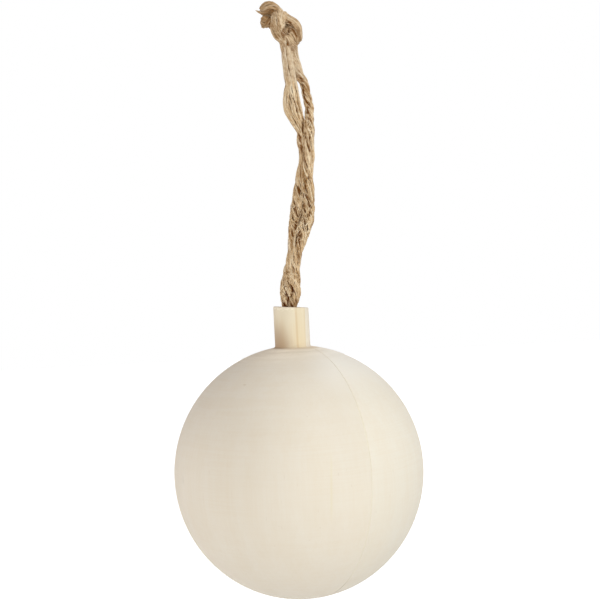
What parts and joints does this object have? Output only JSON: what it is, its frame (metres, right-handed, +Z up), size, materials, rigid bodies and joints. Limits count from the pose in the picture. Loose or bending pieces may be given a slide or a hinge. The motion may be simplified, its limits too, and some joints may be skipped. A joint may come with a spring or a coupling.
{
  "type": "wooden ball ornament",
  "caption": "Pale turned wooden ball with a fine glue seam and a short wooden neck, hung from a knotted loop of rough jute twine.",
  "frame": {"origin": "the eye between the legs of twine, under the knot, where a hook or twig carries the ornament", "axes": "+Z up along the neck, +X to the right and +Y away from the viewer as pictured"},
  "size_m": [0.08, 0.08, 0.1914],
  "materials": {
    "ball_wood": "fine sanded, untreated",
    "neck_wood": "fine sanded, untreated",
    "jute": "rough, loosely spun"
  },
  "bodies": {
    "root": {"ball_left_half": "ball_wood", "ball_right_half": "ball_wood", "neck": "neck_wood", "twine_front_leg": "jute", "twine_back_leg": "jute", "twine_knot": "jute"}
  },
  "joints": []
}
